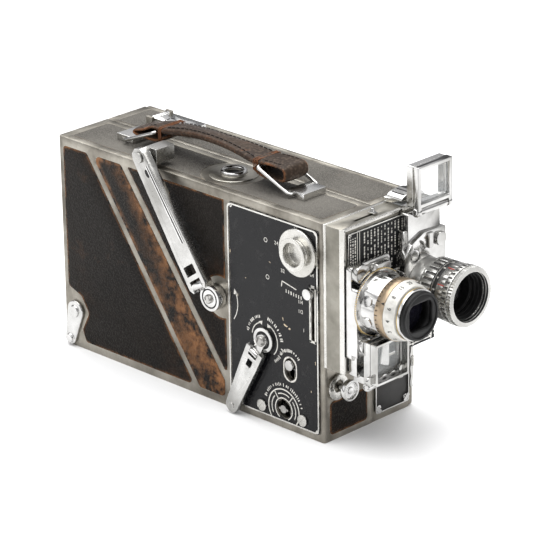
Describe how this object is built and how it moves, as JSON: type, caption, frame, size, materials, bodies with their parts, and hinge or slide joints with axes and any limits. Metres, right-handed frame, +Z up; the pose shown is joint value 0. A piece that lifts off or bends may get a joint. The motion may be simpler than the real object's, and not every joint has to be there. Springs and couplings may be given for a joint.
{
  "type": "cine camera",
  "caption": "Spring-driven 16 mm cine camera with leather-covered body, folding crank, lens turret, folding finders and a detachable film chamber.",
  "frame": {"origin": "centre of the body's base, on the surface it stands on", "axes": "+Z up; -Y towards the lenses; -X towards the crank and control side; +X towards the film chamber"},
  "size_m": [0.0841, 0.2699, 0.158],
  "materials": {
    "cast_frame": "satin, worn at the edges",
    "black_leather": "pebbled, worn brown at the edges",
    "top_leather": "fine grained, faded",
    "black_enamel": "gloss, chipped",
    "dark_plate": "satin",
    "nickel": "satin nickel",
    "chrome": "polished",
    "steel": "machined",
    "satin_aluminium": "satin anodised",
    "brass": "machined",
    "strap_leather": "smooth, worn orange at the edges",
    "optical_glass": "polished",
    "black_metal": "matte"
  },
  "bodies": {
    "mechanism": {"mechanism_case": "cast_frame", "mechanism_cover": "satin_aluminium", "tripod_bush": "steel", "side_leathers": "black_leather", "mechanism_top_leather": "top_leather", "mechanism_end_leathers": "black_leather", "control_plate": "black_enamel", "mechanism_screws": "nickel", "top_port": "satin_aluminium", "handle_lugs": "nickel", "front_housing": "cast_frame", "housing_gate_plate": "cast_frame", "front_table_plate": "black_enamel", "reflex_glass": "optical_glass"},
    "reflex_lever": {"reflex_lever": "chrome"},
    "reflex_prism": {"reflex_prism": "optical_glass"},
    "reflex_hood": {"reflex_hood": "nickel"},
    "handle": {"handle_strap": "strap_leather"},
    "front_loop": {"front_handle_loop": "chrome"},
    "rear_loop": {"rear_handle_loop": "chrome"},
    "winding_hub": {"winding_hub": "chrome"},
    "winding_arm": {"winding_arm": "chrome"},
    "winding_grip": {"winding_grip": "nickel"},
    "spring_barrel": {"spring_barrel": "steel"},
    "hand_crank": {"hand_crank_hub": "chrome"},
    "hand_crank_arm": {"hand_crank_arm": "chrome"},
    "one_frame_shaft": {"one_frame_shaft": "steel"},
    "governor": {"governor": "brass"},
    "shutter": {"shutter_disc": "black_metal"},
    "speed_dial": {"speed_dial": "nickel"},
    "shutter_lever": {"shutter_lever": "chrome"},
    "single_frame_button": {"single_frame_button": "chrome"},
    "release_knob": {"release_knob": "chrome"},
    "lock_lever": {"lock_lever": "chrome"},
    "turret": {"turret_plate": "chrome", "turret_screws": "nickel", "lens_a_barrel": "satin_aluminium", "lens_b_barrel": "chrome", "lens_b_hood": "black_metal", "lens_glasses": "optical_glass"},
    "lens_a_iris": {"lens_a_iris_ring": "satin_aluminium"},
    "lens_a_focus": {"lens_a_focus_ring": "satin_aluminium"},
    "lens_b_iris": {"lens_b_iris_ring": "nickel"},
    "lens_b_focus": {"lens_b_focus_ring": "satin_aluminium"},
    "finder_a": {"finder_frame_a": "chrome", "finder_glass_a": "optical_glass"},
    "finder_b": {"finder_frame_b": "chrome", "finder_glass_b": "optical_glass"},
    "chamber": {"chamber_case": "cast_frame", "chamber_leathers": "top_leather", "chamber_front_plate": "dark_plate", "chamber_screws": "chrome", "film_gate": "steel"},
    "chamber_cover": {"chamber_cover": "cast_frame", "chamber_side_leather": "black_leather"},
    "chamber_latch": {"chamber_latch": "nickel"},
    "sprocket": {"sprocket": "steel"},
    "supply_spool": {"supply_spool": "dark_plate"},
    "take_up_spool": {"take_up_spool": "dark_plate"},
    "rear_sight": {"rear_sight": "nickel"}
  },
  "joints": [
    {"name": "winding_turn", "type": "hinge", "parent": "mechanism", "child": "winding_hub", "pos_m": [-0.036, -0.0235, 0.0655], "axis": [1, 0, 0], "range_deg": [0, 60]},
    {"name": "winding_fold", "type": "hinge", "parent": "winding_hub", "child": "winding_arm", "pos_m": [-0.0446, -0.01823, 0.07316], "axis": [0, -0.8241, 0.5664], "range_deg": [0, 180]},
    {"name": "grip_spin", "type": "hinge", "parent": "winding_arm", "child": "winding_grip", "pos_m": [-0.038, 0.02663, 0.13844], "axis": [-1, 0, 0], "range_deg": [0, 180]},
    {"name": "barrel_spin", "type": "hinge", "parent": "mechanism", "child": "spring_barrel", "pos_m": [-0.02, 0.0347, 0.065], "axis": [1, 0, 0], "continuous": true},
    {"name": "hand_crank_turn", "type": "hinge", "parent": "mechanism", "child": "hand_crank", "pos_m": [-0.036, -0.0613, 0.05], "axis": [-1, 0, 0], "range_deg": [0, 150]},
    {"name": "hand_crank_fold", "type": "hinge", "parent": "hand_crank", "child": "hand_crank_arm", "pos_m": [-0.0412, -0.05736, 0.04191], "axis": [0, 0.8988, 0.4384], "range_deg": [0, 170]},
    {"name": "frame_shaft_spin", "type": "hinge", "parent": "mechanism", "child": "one_frame_shaft", "pos_m": [-0.036, -0.07543, 0.01201], "axis": [-1, 0, 0], "continuous": true},
    {"name": "shutter_spin", "type": "hinge", "parent": "mechanism", "child": "shutter", "pos_m": [-0.004, -0.11, 0.08], "axis": [0, 1, 0], "continuous": true},
    {"name": "governor_spin", "type": "hinge", "parent": "mechanism", "child": "governor", "pos_m": [-0.018, -0.06, 0.104], "axis": [-1, 0, 0], "continuous": true},
    {"name": "sprocket_spin", "type": "hinge", "parent": "chamber", "child": "sprocket", "pos_m": [0.018, -0.088, 0.024], "axis": [-1, 0, 0], "continuous": true},
    {"name": "take_up_spin", "type": "hinge", "parent": "chamber", "child": "take_up_spool", "pos_m": [0.018, -0.038, 0.064], "axis": [-1, 0, 0], "continuous": true},
    {"name": "supply_spin", "type": "hinge", "parent": "chamber", "child": "supply_spool", "pos_m": [0.018, 0.057, 0.064], "axis": [-1, 0, 0], "continuous": true},
    {"name": "speed_dial_turn", "type": "hinge", "parent": "mechanism", "child": "speed_dial", "pos_m": [-0.038, -0.0886, 0.1092], "axis": [-1, 0, 0], "range_deg": [0, 270]},
    {"name": "shutter_lever_slide", "type": "slide", "parent": "mechanism", "child": "shutter_lever", "axis": [0, 0, -1], "range_m": [0, 0.024]},
    {"name": "single_frame_push", "type": "slide", "parent": "mechanism", "child": "single_frame_button", "axis": [0, 0, -1], "range_m": [0, 0.005], "stiffness_N_per_m": 200},
    {"name": "release_push", "type": "slide", "parent": "mechanism", "child": "release_knob", "axis": [0, 1, 0], "range_m": [0, 0.003], "stiffness_N_per_m": 200},
    {"name": "lock_lever_turn", "type": "hinge", "parent": "mechanism", "child": "lock_lever", "pos_m": [-0.037, 0.0954, 0.0231], "axis": [1, 0, 0], "range_deg": [0, 60]},
    {"name": "reflex_slide", "type": "slide", "parent": "mechanism", "child": "reflex_lever", "axis": [-1, 0, 0], "range_m": [0, 0.012]},
    {"name": "prism_slide", "type": "slide", "parent": "mechanism", "child": "reflex_prism", "axis": [0, 0, -1], "range_m": [0, 0.012]},
    {"name": "hood_open", "type": "hinge", "parent": "mechanism", "child": "reflex_hood", "pos_m": [0.022, -0.1068, 0.1315], "axis": [-1, 0, 0], "range_deg": [0, 95]},
    {"name": "handle_lift", "type": "slide", "parent": "mechanism", "child": "handle", "axis": [0, 0, 1], "range_m": [0, 0.011]},
    {"name": "front_loop_swing", "type": "hinge", "parent": "mechanism", "child": "front_loop", "pos_m": [-0.0095, -0.0665, 0.1323], "axis": [1, 0, 0], "range_deg": [0, 28.4]},
    {"name": "rear_loop_swing", "type": "hinge", "parent": "mechanism", "child": "rear_loop", "pos_m": [-0.0095, 0.0665, 0.1323], "axis": [-1, 0, 0], "range_deg": [0, 28.4]},
    {"name": "turret_turn", "type": "hinge", "parent": "mechanism", "child": "turret", "pos_m": [0, -0.123, 0.087], "axis": [0, 1, 0], "range_deg": [0, 180]},
    {"name": "lens_a_iris_turn", "type": "hinge", "parent": "turret", "child": "lens_a_iris", "pos_m": [0.019, -0.144, 0.087], "axis": [0, 1, 0], "range_deg": [0, 90]},
    {"name": "lens_a_focus_turn", "type": "hinge", "parent": "turret", "child": "lens_a_focus", "pos_m": [0.019, -0.156, 0.087], "axis": [0, 1, 0], "range_deg": [0, 220]},
    {"name": "lens_b_iris_turn", "type": "hinge", "parent": "turret", "child": "lens_b_iris", "pos_m": [-0.019, -0.146, 0.087], "axis": [0, 1, 0], "range_deg": [0, 90]},
    {"name": "lens_b_focus_turn", "type": "hinge", "parent": "turret", "child": "lens_b_focus", "pos_m": [-0.019, -0.153, 0.087], "axis": [0, 1, 0], "range_deg": [0, 220]},
    {"name": "finder_a_fold", "type": "hinge", "parent": "turret", "child": "finder_a", "pos_m": [0.0195, -0.1352, 0.132], "axis": [1, 0, 0], "range_deg": [0, 180]},
    {"name": "finder_b_fold", "type": "hinge", "parent": "turret", "child": "finder_b", "pos_m": [-0.0195, -0.1352, 0.042], "axis": [1, 0, 0], "range_deg": [0, 180]},
    {"name": "chamber_slide", "type": "slide", "parent": "mechanism", "child": "chamber", "axis": [1, 0, 0], "range_m": [0, 0.06]},
    {"name": "cover_slide", "type": "slide", "parent": "chamber", "child": "chamber_cover", "axis": [1, 0, 0], "range_m": [0, 0.04]},
    {"name": "latch_slide", "type": "slide", "parent": "chamber_cover", "child": "chamber_latch", "axis": [0, 0, 1], "range_m": [0, 0.005]},
    {"name": "rear_sight_fold", "type": "hinge", "parent": "chamber", "child": "rear_sight", "pos_m": [0.0173, 0.076, 0.13495], "axis": [-1, 0, 0], "range_deg": [0, 90]}
  ],
  "couplings": [
    {"joint": "barrel_spin", "follows": "winding_turn", "ratio": -0.32877},
    {"joint": "frame_shaft_spin", "follows": "hand_crank_turn", "ratio": -8},
    {"joint": "shutter_spin", "follows": "hand_crank_turn", "ratio": 8},
    {"joint": "governor_spin", "follows": "hand_crank_turn", "ratio": 16},
    {"joint": "sprocket_spin", "follows": "hand_crank_turn", "ratio": 1},
    {"joint": "take_up_spin", "follows": "hand_crank_turn", "ratio": 0.4},
    {"joint": "supply_spin", "follows": "hand_crank_turn", "ratio": 0.4},
    {"joint": "prism_slide", "follows": "reflex_slide", "ratio": 1},
    {"joint": "front_loop_swing", "follows": "handle_lift", "rad_per_m": 45},
    {"joint": "rear_loop_swing", "follows": "handle_lift", "rad_per_m": 45}
  ]
}
